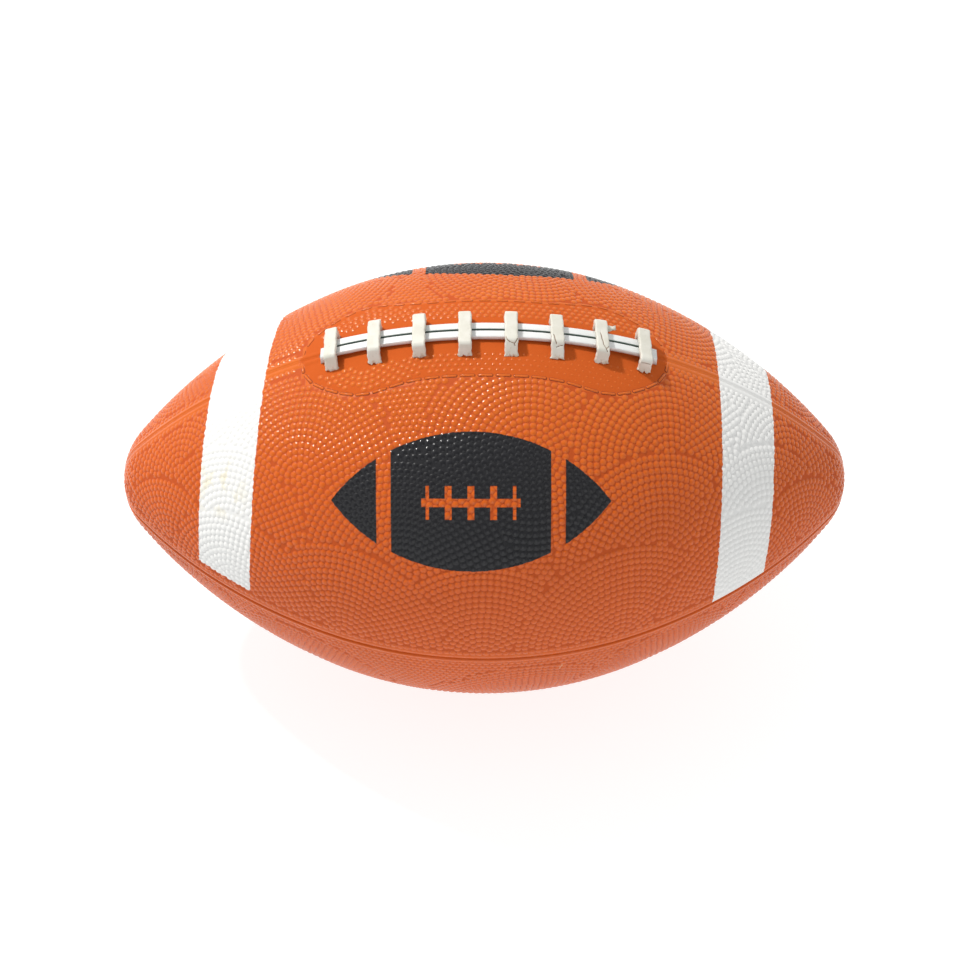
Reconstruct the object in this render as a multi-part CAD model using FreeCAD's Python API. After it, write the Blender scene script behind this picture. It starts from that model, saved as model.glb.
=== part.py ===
import FreeCAD, Part
import math
import os

# American (gridiron) football in moulded rubber, full size, in millimetres.
#
# Frame: the origin is the centre of the ball, +X runs along its long axis, +Z comes out
# through the middle of the lacing and -Y is the front.  Angles round the long axis are
# counted from +Z towards -Y, so the seams lie at 0 (under the lacing), 90, 180 and 270.
#
# From outside to inside the ball is built as four cover panels, a rubber carcass, a
# layer of nylon winding and a butyl bladder with its valve.  The lacing is two rails
# that run along the top seam and eight crossbars that are threaded over them.

# ---- overall shape: one outline of tangent arcs, turned about the long axis ----
ball_length = 286.0
ball_diameter = 170.6
belly_radius = 156.6
belly_half_angle = 22.0
nose_radius = 29.6

# ---- layers ----
cover_thickness = 1.8
carcass_thickness = 0.6
winding_thickness = 0.4
bladder_thickness = 0.6
cement_film = 0.1

# ---- seam channels pressed into the cover ----
groove_width = 1.3
groove_depth = 0.7

# ---- lacing: crossbars are staples that bridge the two rails ----
crossbar_count = 8
crossbar_pitch = 16.57
lacing_shift = 0.7
lacing_radius = 174.7
crossbar_width = 4.7
crossbar_thickness = 2.7
crossbar_lift = 4.75
crossbar_flat_length = 15.0
crossbar_foot_span = 20.9
crossbar_rounding = 0.6
crossbar_lean = 0.35
rail_width = 3.1
rail_gap = 0.7
rail_rounding = 0.9
rail_clearance = 0.2
front_rail_overhang = 4.0
back_rail_overhang = -1.2

# ---- reinforcing strip under the lacing ----
backing_length = 142.0
backing_width = 32.0
backing_thickness = 0.6
slot_clearance = 0.1

# ---- valve ----
valve_angle = 192.0
needle_radius = 1.05
cover_hole_radius = 1.5
cover_hole_mouth_radius = 2.8
cover_hole_mouth_depth = 0.8
valve_body_radius = 4.6
valve_body_depth = 17.0
valve_flange_radius = 10.0
valve_flange_thickness = 1.0
valve_clearance = 0.1
core_radius = 2.9
core_bottom_depth = 14.5
core_collar_radius = 3.6
core_collar_depth = 7.0
core_collar_height = 2.0
core_clearance = 0.05
valve_exit_radius = 1.6
patch_radius = 16.0
patch_thickness = 0.5

# ---- values that follow from the ones above ----
half_length = ball_length / 2
half_diameter = ball_diameter / 2
carcass_depth = cover_thickness + cement_film
winding_depth = carcass_depth + carcass_thickness + cement_film
bladder_depth = winding_depth + winding_thickness + cement_film
bladder_floor = bladder_depth + bladder_thickness
patch_depth = bladder_floor + cement_film
flange_depth = patch_depth + patch_thickness + cement_film
backing_depth = cover_thickness - backing_thickness
rail_lift = crossbar_lift - crossbar_thickness - rail_clearance
quarter_turn = 90.0

X_AXIS = FreeCAD.Vector(1, 0, 0)
Y_AXIS = FreeCAD.Vector(0, 1, 0)
Z_AXIS = FreeCAD.Vector(0, 0, 1)
CENTRE = FreeCAD.Vector(0, 0, 0)


def point(x, z):
    return FreeCAD.Vector(x, 0, z)


def direction(degrees):
    """Unit vector in the XZ plane, counted from +Z towards +X."""
    turn = math.radians(degrees)
    return point(math.sin(turn), math.cos(turn))


def outline_arcs():
    """Centre, radius and end angle of the belly, flank and nose arcs of the +X half.

    The flank arc leaves the belly arc along its tangent and reaches the nose arc along
    its tangent too, and those two conditions settle its radius and centre.
    """
    belly_centre = point(0, half_diameter - belly_radius)
    nose_centre = point(half_length - nose_radius, 0)
    out = direction(belly_half_angle)
    belly_end = belly_centre + out * belly_radius
    reach = belly_end - nose_centre
    flank_radius = (reach.dot(reach) - nose_radius ** 2) / (2 * (reach.dot(out) - nose_radius))
    flank_centre = belly_end - out * flank_radius
    run = nose_centre - flank_centre
    flank_end_angle = math.degrees(math.atan2(run.x, run.z))
    return [
        (belly_centre, belly_radius, 0.0, belly_half_angle),
        (flank_centre, flank_radius, belly_half_angle, flank_end_angle),
        (nose_centre, nose_radius, flank_end_angle, 90.0),
    ]


def arc_edge(centre, radius, start, end, side):
    """Arc from angle start to angle end, mirrored to -X when side is -1."""
    points = []
    for angle in (start, (start + end) / 2, end):
        here = centre + direction(angle) * radius
        points.append(point(side * here.x, here.z))
    return Part.Arc(*points).toShape()


def outline_edges(depth):
    """The upper outline from the +X tip to the -X tip, depth below the outer surface."""
    belly, flank, nose = outline_arcs()
    edges = []
    for centre, radius, start, end in (nose, flank):
        edges.append(arc_edge(centre, radius - depth, end, start, 1))
    centre, radius, start, end = belly
    edges.append(arc_edge(centre, radius - depth, end, -end, 1))
    for centre, radius, start, end in (flank, nose):
        edges.append(arc_edge(centre, radius - depth, start, end, -1))
    return edges


def band_face(outer_depth, inner_depth):
    """Face in the XZ plane between two depths, closed along the long axis at both tips."""
    tip = half_length - outer_depth
    floor = half_length - inner_depth
    edges = outline_edges(outer_depth)
    edges.append(Part.makeLine(point(-tip, 0), point(-floor, 0)))
    edges += outline_edges(inner_depth)
    edges.append(Part.makeLine(point(floor, 0), point(tip, 0)))
    return Part.Face(Part.Wire(Part.__sortEdges__(edges)))


def inside(depth):
    """Everything inside the ball that is more than depth below the outer surface."""
    tip = half_length - depth
    edges = outline_edges(depth)
    edges.append(Part.makeLine(point(-tip, 0), point(tip, 0)))
    face = Part.Face(Part.Wire(Part.__sortEdges__(edges)))
    return face.revolve(CENTRE, X_AXIS, 360)


def layer(depth, thickness):
    """A closed layer of the ball, hollow inside."""
    return inside(depth).cut(inside(depth + thickness))


def turned(shape, angle):
    """A copy of shape, turned round the long axis."""
    copy = shape.copy()
    copy.rotate(CENTRE, X_AXIS, angle)
    return copy


# ---- lacing ----

def belly_point(angle):
    """Point of the belly arc at an angle about the arc's centre."""
    return point(0, half_diameter - belly_radius) + direction(angle) * belly_radius


def lacing_centre():
    """Centre of the arc that the crossbar tops lie on, which is flatter than the belly."""
    return point(0, half_diameter + crossbar_lift - lacing_radius)


def crossbar_top(angle):
    """Height of a crossbar's top above the belly, along the crossbar's own upright."""
    upright = direction(crossbar_lean * angle)
    base = belly_point(angle) - lacing_centre()
    along = base.dot(upright)
    return math.sqrt(along ** 2 - base.dot(base) + lacing_radius ** 2) - along


def crossbar_slope(angle):
    """Slope of the lacing's arc at a crossbar, seen from the crossbar's own upright."""
    top = belly_point(angle) + direction(crossbar_lean * angle) * crossbar_top(angle)
    tangent_angle = math.asin(top.x / lacing_radius)
    return math.tan(tangent_angle - math.radians(crossbar_lean * angle))


def crossbar_angles():
    """Angle along the belly arc of each crossbar, from -X to +X."""
    angles = []
    for number in range(crossbar_count):
        along = (number - (crossbar_count - 1) / 2) * crossbar_pitch + lacing_shift
        angles.append(math.degrees(along / belly_radius))
    return angles


def crossbar_blank(angle, clearance):
    """Staple with sloping legs that still runs on below the cover.

    Its sides stay upright while its top is skewed along the lacing's arc.
    """
    lift = crossbar_top(angle) + clearance
    half_flat = crossbar_flat_length / 2 + clearance
    half_span = crossbar_foot_span / 2 + clearance
    wall = crossbar_thickness + 2 * clearance
    crown_drop = half_diameter - math.sqrt(half_diameter ** 2 - half_span ** 2)
    slope = (half_span - half_flat) / (lift + crown_drop)
    bottom = -crown_drop - 2 * cover_thickness
    leg_run = wall * math.sqrt(1 + slope ** 2)
    inner_flat = half_flat - leg_run + slope * wall
    foot_out = half_flat + slope * (lift - bottom)
    corners = [
        (-foot_out, bottom),
        (-half_flat, lift),
        (half_flat, lift),
        (foot_out, bottom),
        (foot_out - leg_run, bottom),
        (inner_flat, lift - wall),
        (-inner_flat, lift - wall),
        (-foot_out + leg_run, bottom),
    ]
    width = crossbar_width + 2 * clearance
    skew = FreeCAD.Vector(width, 0, -width * crossbar_slope(angle))
    outline = [FreeCAD.Vector(0, y, z) - skew * 0.5 for y, z in corners]
    outline.append(outline[0])
    return Part.Face(Part.makePolygon(outline)).extrude(skew)


def stand_on_belly(shape, angle):
    """Carry a shape drawn at the origin, with +Z up, to the belly, leaning a little outwards."""
    shape.rotate(CENTRE, Y_AXIS, crossbar_lean * angle)
    shape.translate(belly_point(angle))
    return shape


def crossbar(angle):
    """One crossbar: a staple whose legs end inside the cover, on the reinforcing strip."""
    blank = crossbar_blank(angle, 0.0)
    top = blank.BoundBox.ZMax
    outer_edges = [edge for edge in blank.Edges if edge.BoundBox.ZMax > top - crossbar_thickness / 2]
    rounded = blank.makeFillet(crossbar_rounding, outer_edges)
    standing = stand_on_belly(rounded, angle)
    return standing.cut(inside(backing_depth - cement_film))


def rail(side, overhang):
    """One rail: it lies on the cover, and its rounded top runs parallel to the lacing's arc."""
    centre = lacing_centre()
    top_radius = lacing_radius - crossbar_lift + rail_lift
    bottom_radius = top_radius - rail_lift - cover_thickness
    end_turn = math.degrees((crossbar_width / 2 + overhang) / belly_radius)
    scale = belly_radius / lacing_radius
    start = (crossbar_angles()[0] - end_turn) * scale
    finish = (crossbar_angles()[-1] + end_turn) * scale
    top = arc_edge(centre, top_radius, start, finish, 1)
    bottom = arc_edge(centre, bottom_radius, start, finish, 1)
    ends = [
        Part.makeLine(top.Vertexes[0].Point, bottom.Vertexes[0].Point),
        Part.makeLine(top.Vertexes[1].Point, bottom.Vertexes[1].Point),
    ]
    face = Part.Face(Part.Wire(Part.__sortEdges__([top, bottom] + ends)))
    face.translate(Y_AXIS * (side * rail_gap / 2))
    blank = face.extrude(Y_AXIS * (side * rail_width))
    arcs = [edge for edge in blank.Edges if isinstance(edge.Curve, Part.Circle)]
    top_edges = [edge for edge in arcs if edge.Curve.Radius > bottom_radius + rail_lift]
    return blank.makeFillet(rail_rounding, top_edges).cut(inside(0.0))


def backing_outline(grow):
    """Upright prism with round ends over the lacing, used to trim the strip and its pocket."""
    half_width = backing_width / 2 + grow
    straight = backing_length / 2 - backing_width / 2
    height = 2 * half_diameter
    prism = Part.makeBox(2 * straight, 2 * half_width, height)
    prism.translate(FreeCAD.Vector(-straight, -half_width, 0))
    for side in (-1, 1):
        end = Part.makeCylinder(half_width, height, point(side * straight, 0), Z_AXIS)
        prism = prism.fuse(end)
    prism = prism.removeSplitter()
    prism.translate(X_AXIS * lacing_shift)
    return prism


def lace_backing():
    """Reinforcing strip in a pocket on the inside of the two upper panels."""
    return layer(backing_depth, backing_thickness).common(backing_outline(0.0))


# ---- valve: every depth is counted along its axis from the outside of the ball ----

def valve_direction():
    turn = math.radians(valve_angle)
    return FreeCAD.Vector(0, -math.sin(turn), math.cos(turn))


def valve_cylinder(radius, top_depth, bottom_depth):
    """Cylinder on the valve's axis between two depths."""
    inwards = valve_direction() * -1
    start = valve_direction() * (half_diameter - top_depth)
    return Part.makeCylinder(radius, bottom_depth - top_depth, start, inwards)


def through_hole(radius):
    """Cutter that opens every layer at the valve."""
    return valve_cylinder(radius, -cover_thickness, flange_depth + valve_flange_thickness)


def cover_valve_hole():
    """Needle hole in the cover, with a shallow funnel that guides the needle in."""
    inwards = valve_direction() * -1
    start = valve_direction() * (half_diameter + cover_hole_mouth_depth)
    slope = (cover_hole_mouth_radius - cover_hole_radius) / cover_hole_mouth_depth
    wide = cover_hole_mouth_radius + slope * cover_hole_mouth_depth
    funnel = Part.makeCone(wide, cover_hole_radius, 2 * cover_hole_mouth_depth, start, inwards)
    return funnel.fuse(through_hole(cover_hole_radius))


def core_space(clearance):
    """Shape of the valve core, grown by a clearance when it is used to cut the housing."""
    collar_top = core_collar_depth - clearance
    collar_bottom = core_collar_depth + core_collar_height + clearance
    stem = valve_cylinder(core_radius + clearance, 0.0, core_bottom_depth + clearance)
    collar = valve_cylinder(core_collar_radius + clearance, collar_top, collar_bottom)
    return stem.fuse(collar)


def valve_housing():
    """Rubber boot: a body that hangs into the bladder and a flange against the patch."""
    body = valve_cylinder(valve_body_radius, 0.0, valve_body_depth)
    flange = layer(flange_depth, valve_flange_thickness)
    flange = flange.common(valve_cylinder(valve_flange_radius, 0.0, valve_body_depth))
    boot = body.fuse(flange).common(inside(carcass_depth))
    boot = boot.cut(core_space(core_clearance))
    return boot.cut(valve_cylinder(valve_exit_radius, 0.0, 2 * valve_body_depth))


def valve_core():
    """Soft plug that grips the inflation needle in its channel."""
    plug = core_space(0.0).common(inside(carcass_depth))
    return plug.cut(valve_cylinder(needle_radius, 0.0, 2 * valve_body_depth))


def valve_patch():
    """Round patch between the bladder wall and the valve's flange."""
    patch = layer(patch_depth, patch_thickness)
    patch = patch.common(valve_cylinder(patch_radius, 0.0, valve_body_depth))
    return patch.cut(through_hole(valve_body_radius + valve_clearance))


# ---- layers of the ball ----

def seam_channel(angle):
    """Cutter for the channel along one seam, of even width and depth."""
    band = band_face(-groove_depth, groove_depth)
    band.translate(Y_AXIS * (-groove_width / 2))
    return turned(band.extrude(Y_AXIS * groove_width), angle)


def plain_panel(start_angle):
    """A quarter of the cover between two seams, with a channel along both of them."""
    wedge = band_face(0.0, cover_thickness).revolve(CENTRE, X_AXIS, quarter_turn)
    panel = turned(wedge, start_angle)
    panel = panel.cut(seam_channel(start_angle))
    return panel.cut(seam_channel(start_angle + quarter_turn))


def laced_panel(start_angle):
    """An upper panel: pocket for the reinforcing strip and slots for the crossbar legs."""
    pocket = layer(backing_depth - cement_film, 2 * backing_thickness)
    panel = plain_panel(start_angle).cut(pocket.common(backing_outline(slot_clearance)))
    for angle in crossbar_angles():
        panel = panel.cut(stand_on_belly(crossbar_blank(angle, slot_clearance), angle))
    return panel


def valve_panel(start_angle):
    """The lower back panel, which has the needle hole."""
    return plain_panel(start_angle).cut(cover_valve_hole())


def inner_layer(depth, thickness):
    """A hollow layer with a round hole for the valve."""
    return layer(depth, thickness).cut(through_hole(valve_body_radius + valve_clearance))


def build():
    """Every piece of the ball, by node name."""
    parts = {
        "cover_panel_upper_front": laced_panel(0.0),
        "cover_panel_lower_front": plain_panel(90.0),
        "cover_panel_lower_back": valve_panel(180.0),
        "cover_panel_upper_back": laced_panel(270.0),
        "carcass": inner_layer(carcass_depth, carcass_thickness),
        "nylon_winding": inner_layer(winding_depth, winding_thickness),
        "bladder": inner_layer(bladder_depth, bladder_thickness),
        "lace_backing": lace_backing(),
        "lace_rail_front": rail(-1, front_rail_overhang),
        "lace_rail_back": rail(1, back_rail_overhang),
        "valve_housing": valve_housing(),
        "valve_core": valve_core(),
        "valve_patch": valve_patch(),
    }
    for number, angle in enumerate(crossbar_angles(), start=1):
        parts["lace_crossbar_%d" % number] = crossbar(angle)
    return parts


def main():
    os.makedirs("parts", exist_ok=True)
    for name, shape in build().items():
        solids = len(shape.Solids)
        print("%-26s solids %d  valid %s  %8.1f mm3" % (name, solids, shape.isValid(), shape.Volume))
        shape.exportStep("parts/%s.step" % name)


main()
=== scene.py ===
# %% [markdown]
# # A laced rubber football
#
# The ball is packed as a plain model of real sizes: four cover panels, three hidden layers, a
# valve and the lacing.  This lesson dresses it.  The cover gets its moulded pebbles, seam
# channels and stitch outline as real geometry, the lacing gets worn rubber, and every layer
# underneath gets a finish of its own, because a reader may take the ball apart.

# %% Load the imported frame
import math

import bpy
import numpy as np
from mathutils import Matrix, Vector
from mathutils.kdtree import KDTree


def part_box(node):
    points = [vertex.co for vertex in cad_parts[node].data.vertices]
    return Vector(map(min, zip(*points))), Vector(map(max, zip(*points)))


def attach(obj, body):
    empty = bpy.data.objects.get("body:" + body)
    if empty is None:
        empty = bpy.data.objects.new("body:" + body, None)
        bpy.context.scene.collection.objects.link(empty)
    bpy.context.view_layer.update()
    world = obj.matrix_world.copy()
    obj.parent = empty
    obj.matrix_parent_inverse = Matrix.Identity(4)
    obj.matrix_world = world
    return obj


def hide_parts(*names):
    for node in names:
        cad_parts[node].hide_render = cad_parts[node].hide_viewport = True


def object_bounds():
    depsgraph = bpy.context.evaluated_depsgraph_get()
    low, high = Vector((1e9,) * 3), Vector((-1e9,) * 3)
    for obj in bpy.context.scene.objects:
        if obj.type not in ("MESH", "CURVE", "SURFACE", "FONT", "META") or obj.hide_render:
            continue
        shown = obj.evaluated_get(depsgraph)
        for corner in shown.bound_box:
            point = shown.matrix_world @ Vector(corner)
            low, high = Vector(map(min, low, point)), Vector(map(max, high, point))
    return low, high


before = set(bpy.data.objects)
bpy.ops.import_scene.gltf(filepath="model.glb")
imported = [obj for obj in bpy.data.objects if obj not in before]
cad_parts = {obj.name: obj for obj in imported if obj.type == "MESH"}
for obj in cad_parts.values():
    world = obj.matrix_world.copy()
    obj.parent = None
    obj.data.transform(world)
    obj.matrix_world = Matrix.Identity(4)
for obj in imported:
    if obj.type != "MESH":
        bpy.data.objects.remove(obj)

cad_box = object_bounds()
MM = 0.001
print("nodes:", len(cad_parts))

# %% [markdown]
# ## The outline that everything follows
#
# Half of the ball's outline is three arcs that run into each other without a corner: a long
# belly arc, a slightly flatter flank and a small nose.  The overall length and width are read
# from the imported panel, so only the shape of the arcs is written here.  A place on the ball is
# then two numbers: the distance along the outline from the middle, and the angle round the
# long axis, counted from the lacing towards the front.

# %% The outline
panel_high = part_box("cover_panel_upper_front")[1]
HALF_LENGTH = panel_high[0]
HALF_WIDTH = panel_high[2]
BELLY_RADIUS = 156.6 * MM
BELLY_ANGLE = math.radians(22.0)
NOSE_RADIUS = 29.6 * MM


def settle_outline():
    """Centre, radius and end angle of the three arcs, in the plane of x and distance from axis."""
    belly_centre = np.array([0.0, HALF_WIDTH - BELLY_RADIUS])
    nose_centre = np.array([HALF_LENGTH - NOSE_RADIUS, 0.0])
    out = np.array([math.sin(BELLY_ANGLE), math.cos(BELLY_ANGLE)])
    reach = belly_centre + out * BELLY_RADIUS - nose_centre
    flank_radius = (reach @ reach - NOSE_RADIUS ** 2) / (2 * (reach @ out - NOSE_RADIUS))
    flank_centre = belly_centre + out * (BELLY_RADIUS - flank_radius)
    run = nose_centre - flank_centre
    flank_angle = math.atan2(run[0], run[1])
    return [
        (belly_centre, BELLY_RADIUS, 0.0, BELLY_ANGLE),
        (flank_centre, flank_radius, BELLY_ANGLE, flank_angle),
        (nose_centre, NOSE_RADIUS, flank_angle, math.pi / 2),
    ]


ARCS = settle_outline()
HALF_ARC = sum(radius * (end - start) for centre, radius, start, end in ARCS)
print("half the outline is %.1f mm long" % (HALF_ARC / MM))


def outline_at(along):
    """x, distance from the axis and slope angle at distances along the outline from the middle."""
    along = np.asarray(along, float)
    left = np.minimum(np.abs(along), HALF_ARC)
    x, rho, slope = (np.zeros_like(left) for _ in range(3))
    used = 0.0
    for centre, radius, start, end in ARCS:
        angle = start + (left - used) / radius
        here = left >= used - 1e-12
        x = np.where(here, centre[0] + radius * np.sin(angle), x)
        rho = np.where(here, centre[1] + radius * np.cos(angle), rho)
        slope = np.where(here, angle, slope)
        used += radius * (end - start)
    side = np.sign(along)
    return x * side, np.maximum(rho, 0.0), slope * side


def on_ball(along, turn, height=0.0):
    """Points at a height above the outline, and the outward directions there."""
    x, rho, slope = outline_at(along)
    across = np.cos(slope)
    out = np.stack([np.sin(slope), -across * np.sin(turn), across * np.cos(turn)], -1)
    point = np.stack([x, -rho * np.sin(turn), rho * np.cos(turn)], -1)
    return point + out * np.asarray(height)[..., None], out


def drop_on_ball(points):
    """Distance along the outline and angle of the nearest place on the ball."""
    x = np.abs(points[:, 0])
    rho = np.hypot(points[:, 1], points[:, 2])
    along = np.zeros(len(points))
    used = 0.0
    for centre, radius, start, end in ARCS:
        angle = np.arctan2(x - centre[0], rho - centre[1])
        inside = (angle >= start - 1e-9) | (start == 0.0)
        along = np.where(inside, used + radius * (np.clip(angle, start, end) - start), along)
        used += radius * (end - start)
    turn = np.arctan2(-points[:, 1], points[:, 2])
    return along * np.sign(points[:, 0]), turn


# %% [markdown]
# ## Short notes for node trees
#
# A node tree is a formula drawn with boxes.  These small classes let it be written as Python
# instead.  `Wire` wraps one socket and turns + - and * into Math nodes, and `Wiring` holds a
# tree and adds any other node to it, settings first and sockets after.  The same two serve
# materials, the surround and Geometry Nodes.

# %% Wire and Wiring
class Wire:
    """One socket that Python's operators build Math nodes on."""

    def __init__(self, wiring, socket):
        self.wiring = wiring
        self.socket = socket

    def math(self, operation, *others):
        values = dict(enumerate([self] + list(others)))
        return self.wiring.node("ShaderNodeMath", {"operation": operation}, values)[0]

    def __add__(self, other):
        return self.math("ADD", other)

    __radd__ = __add__

    def __mul__(self, other):
        return self.math("MULTIPLY", other)

    __rmul__ = __mul__

    def __sub__(self, other):
        return self.math("SUBTRACT", other)

    def __rsub__(self, other):
        return self * -1.0 + other

    def either(self, other):
        return self.math("MAXIMUM", other)

    def size(self):
        return self.math("ABSOLUTE")

    def ramp(self, low, high):
        """0 at low, 1 at high and a smooth step between them; high may be under low."""
        if high < low:
            return 1.0 - self.ramp(high, low)
        settings = {"interpolation_type": "SMOOTHSTEP"}
        values = {"Value": self, "From Min": low, "From Max": high}
        return self.wiring.node("ShaderNodeMapRange", settings, values)["Result"]


class Node:
    """A node whose outputs are taken by name or number, as wires."""

    def __init__(self, wiring, node):
        self.wiring = wiring
        self.node = node

    def __getitem__(self, output):
        return Wire(self.wiring, self.node.outputs[output])


class Wiring:
    """A node tree in the making."""

    def __init__(self, tree):
        self.tree = tree

    def node(self, kind, settings, values):
        node = self.tree.nodes.new(kind)
        for name, value in settings.items():
            setattr(node, name, value)
        for name, value in values.items():
            self.feed(node.inputs[name], value)
        return Node(self, node)

    def feed(self, socket, value):
        if isinstance(value, Wire):
            self.tree.links.new(value.socket, socket)
        elif socket.type == "RGBA":
            socket.default_value = (*value[:3], 1.0)
        else:
            socket.default_value = value

    def mix(self, factor, first, second):
        """A colour between first and second."""
        settings = {"data_type": "RGBA"}
        return self.node("ShaderNodeMix", settings, {0: factor, 6: first, 7: second})[2]


class Finish(Wiring):
    """A material with one principled shader; constants are set on its own sockets."""

    def __init__(self, name, **constants):
        self.material = bpy.data.materials.new(name)
        self.material.use_nodes = True
        super().__init__(self.material.node_tree)
        self.tree.nodes.clear()
        named = {key.replace("_", " "): value for key, value in constants.items()}
        self.shader = self.node("ShaderNodeBsdfPrincipled", {}, named)
        self.node("ShaderNodeOutputMaterial", {}, {"Surface": self.shader["BSDF"]})
        self.place = self.node("ShaderNodeTexCoord", {}, {})["Object"]

    def set(self, **values):
        for name, value in values.items():
            self.feed(self.shader.node.inputs[name.replace("_", " ")], value)

    def attribute(self, name):
        return self.node("ShaderNodeAttribute", {"attribute_name": name}, {})["Fac"]

    def axes(self):
        """x, y and z in millimetres."""
        split = self.node("ShaderNodeSeparateXYZ", {}, {"Vector": self.place})
        return split["X"] * 1000.0, split["Y"] * 1000.0, split["Z"] * 1000.0

    def noise(self, grain, detail=3.0, roughness=0.5):
        """Noise from 0 to 1 whose patches are about grain millimetres wide."""
        values = {"Vector": self.place, "Scale": 1000.0 / grain, "Detail": detail, "Roughness": roughness}
        return self.node("ShaderNodeTexNoise", {}, values)["Fac"]

    def bump(self, height, millimetres):
        """Height from 0 to 1 that stands for so many millimetres."""
        values = {"Height": height, "Distance": millimetres * MM}
        self.set(Normal=self.node("ShaderNodeBump", {}, values)["Normal"])


# %% [markdown]
# ## Camera, floor and light
#
# The ball lies with its lacing up and is seen from the front at 52 degrees.  A small lamp high
# on the left and behind throws the short shadows of the crossbars and puts glints on the
# pebbles.  It stands far off, so the shadows fall the same way all along the lacing.  A large
# soft lamp in front lights the lower half.  The surround and a floor that glows a little, like
# a light table, light the rest.  The surround is dim behind the camera, as a studio is, so that
# the rubber facing the camera keeps its deep colour.

# %% Camera
CAMERA_TURN = -0.0133
CAMERA_TILT = 0.9073
CAMERA_ROLL = 0.0089
CAMERA_DISTANCE = 729.4 * MM
CAMERA_LENS = 68.7
CAMERA_SENSOR = 36.0
CAMERA_SHIFT = (-0.0050, -0.0021)
to_camera = Vector((
    math.sin(CAMERA_TURN) * math.cos(CAMERA_TILT),
    -math.cos(CAMERA_TURN) * math.cos(CAMERA_TILT),
    math.sin(CAMERA_TILT),
))


def place_camera():
    level = Vector((math.cos(CAMERA_TURN), math.sin(CAMERA_TURN), 0.0))
    raised = to_camera.cross(level)
    right = level * math.cos(CAMERA_ROLL) + raised * math.sin(CAMERA_ROLL)
    up = raised * math.cos(CAMERA_ROLL) - level * math.sin(CAMERA_ROLL)
    data = bpy.data.cameras.new("camera")
    data.lens = CAMERA_LENS
    data.sensor_width = CAMERA_SENSOR
    data.shift_x, data.shift_y = CAMERA_SHIFT
    camera = bpy.data.objects.new("camera", data)
    turn = Matrix((right, up, to_camera)).transposed().to_4x4()
    camera.matrix_world = Matrix.Translation(to_camera * CAMERA_DISTANCE) @ turn
    bpy.context.scene.collection.objects.link(camera)
    bpy.context.scene.camera = camera


place_camera()
print("camera %.0f mm from the ball's middle" % (CAMERA_DISTANCE / MM))


# %% Floor, lamps and surround
FLOOR_HALF = 4.0


def new_object(name, vertices, faces, material=None):
    mesh = bpy.data.meshes.new(name)
    mesh.from_pydata([tuple(vertex) for vertex in vertices], [], faces)
    mesh.update()
    mesh.shade_smooth()
    if material:
        mesh.materials.append(material)
    piece = bpy.data.objects.new(name, mesh)
    bpy.context.scene.collection.objects.link(piece)
    return piece


def pale_floor():
    low = cad_box[0][2]
    corners = [(x * FLOOR_HALF, y * FLOOR_HALF, low) for x, y in ((-1, -1), (1, -1), (1, 1), (-1, 1))]
    finish = Finish("floor_paint", Roughness=0.9, Emission_Strength=0.80)
    cloud = finish.noise(600.0)
    finish.set(Base_Color=finish.mix(cloud, (0.33, 0.34, 0.34), (0.35, 0.36, 0.36)))
    finish.set(Emission_Color=(1.0, 1.0, 1.0))
    new_object("floor", corners, [(0, 1, 2, 3)], finish.material)


def square_lamp(name, direction, distance, size, power, colour):
    """A square lamp that stands off in a direction and looks at the ball."""
    data = bpy.data.lights.new(name, "AREA")
    data.size = size
    data.energy = power
    data.color = colour
    aim = Vector(direction).normalized()
    light = bpy.data.objects.new(name, data)
    light.location = aim * distance
    light.rotation_mode = "QUATERNION"
    light.rotation_quaternion = aim.to_track_quat("Z", "Y")
    bpy.context.scene.collection.objects.link(light)


def surround(bright, dim):
    """A white surround that dims from 57 to 26 degrees off the direction to the camera."""
    world = bpy.data.worlds.new("surround")
    world.use_nodes = True
    wiring = Wiring(world.node_tree)
    facing = wiring.node("ShaderNodeTexCoord", {}, {})["Generated"]
    values = {0: facing, 1: tuple(to_camera)}
    toward = wiring.node("ShaderNodeVectorMath", {"operation": "DOT_PRODUCT"}, values)["Value"]
    strength = toward.ramp(0.55, 0.90) * (dim - bright) + bright
    background = world.node_tree.nodes["Background"]
    wiring.feed(background.inputs["Color"], (1.0, 1.0, 1.0))
    wiring.feed(background.inputs["Strength"], strength)
    bpy.context.scene.world = world


pale_floor()
square_lamp(
    "key_lamp", direction=(-0.487, 0.325, 0.811), distance=1.3, size=0.10,
    power=13.6, colour=(1.0, 0.98, 0.95),
)
square_lamp(
    "front_fill", direction=(0.08, -0.92, 0.36), distance=1.25, size=0.9,
    power=2.6, colour=(1.0, 1.0, 1.0),
)
surround(bright=0.85, dim=0.36)
bpy.context.scene.view_settings.view_transform = "Standard"
print("lamps:", [lamp.name for lamp in bpy.data.lights])

# %% [markdown]
# ## The stitched outline round the lacing
#
# Moulded dashes imitate a line of stitches round the lacing: two rounded lobes joined by a
# waist, like a dog bone.  One formula gives its half width at each place along the ball.
# Pebbles keep clear of it.  Inside it the rubber is matte and carries only smaller dots.

# %% The dog bone
BONE_MIDDLE = -0.4 * MM
BONE_HALF_LENGTH = 69.5 * MM
BONE_WAIST = 18.5 * MM
BONE_SWELL = 3.5 * MM
BONE_LOBE = 45.0 * MM
BONE_LOBE_WIDTH = 14.0 * MM
BONE_CLOSING = 6.2


def bone_half_width(along):
    """Distance from the lace seam to the stitched outline; 0 beyond its ends."""
    left = np.abs(np.asarray(along) - BONE_MIDDLE)
    lobe = BONE_SWELL * np.exp(-((left - BONE_LOBE) / BONE_LOBE_WIDTH) ** 2)
    closing = np.clip(1.0 - (left / BONE_HALF_LENGTH) ** BONE_CLOSING, 0.0, 1.0)
    return (BONE_WAIST + lobe) * np.sqrt(closing)


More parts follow.
